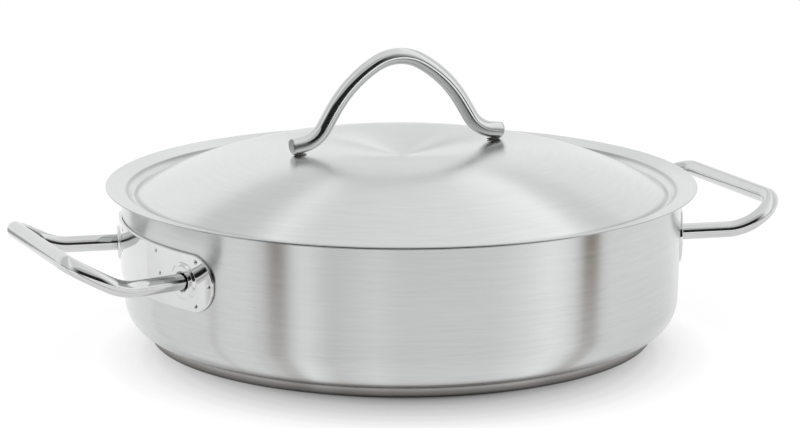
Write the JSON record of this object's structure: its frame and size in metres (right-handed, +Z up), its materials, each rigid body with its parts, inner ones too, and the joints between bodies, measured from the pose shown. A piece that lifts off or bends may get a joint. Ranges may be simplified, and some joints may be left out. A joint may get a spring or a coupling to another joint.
{
  "type": "cooking pot with lid",
  "caption": "Shallow stainless cooking pot with bent rod side handles and a lift-off domed lid that carries an arched rod handle.",
  "frame": {"origin": "middle of the flat underside, on the surface that the pot stands on", "axes": "+Z up along the pot's axis; the side handles point along +X and -X"},
  "size_m": [0.4414, 0.3374, 0.1652],
  "materials": {
    "pot_shell": "stainless steel, brushed round the wall",
    "base_core": "bare aluminium disc, sealed inside the base",
    "base_cap": "magnetic stainless steel, dull satin",
    "handle_plate": "stainless steel, mirror polished",
    "handle_rod": "stainless steel round bar, polished",
    "lid_shell": "stainless steel, satin in rings round the middle"
  },
  "bodies": {
    "pot": {"pot_shell": "pot_shell", "base_core": "base_core", "base_cap": "base_cap", "handle_plate_left": "handle_plate", "handle_plate_right": "handle_plate", "handle_rod_left": "handle_rod", "handle_rod_right": "handle_rod"},
    "lid": {"lid_shell": "lid_shell", "lid_handle_rod": "handle_rod"}
  },
  "joints": [
    {"name": "lid_lift", "type": "slide", "parent": "pot", "child": "lid", "axis": [0, 0, 1], "range_m": [0, 0.16]}
  ]
}
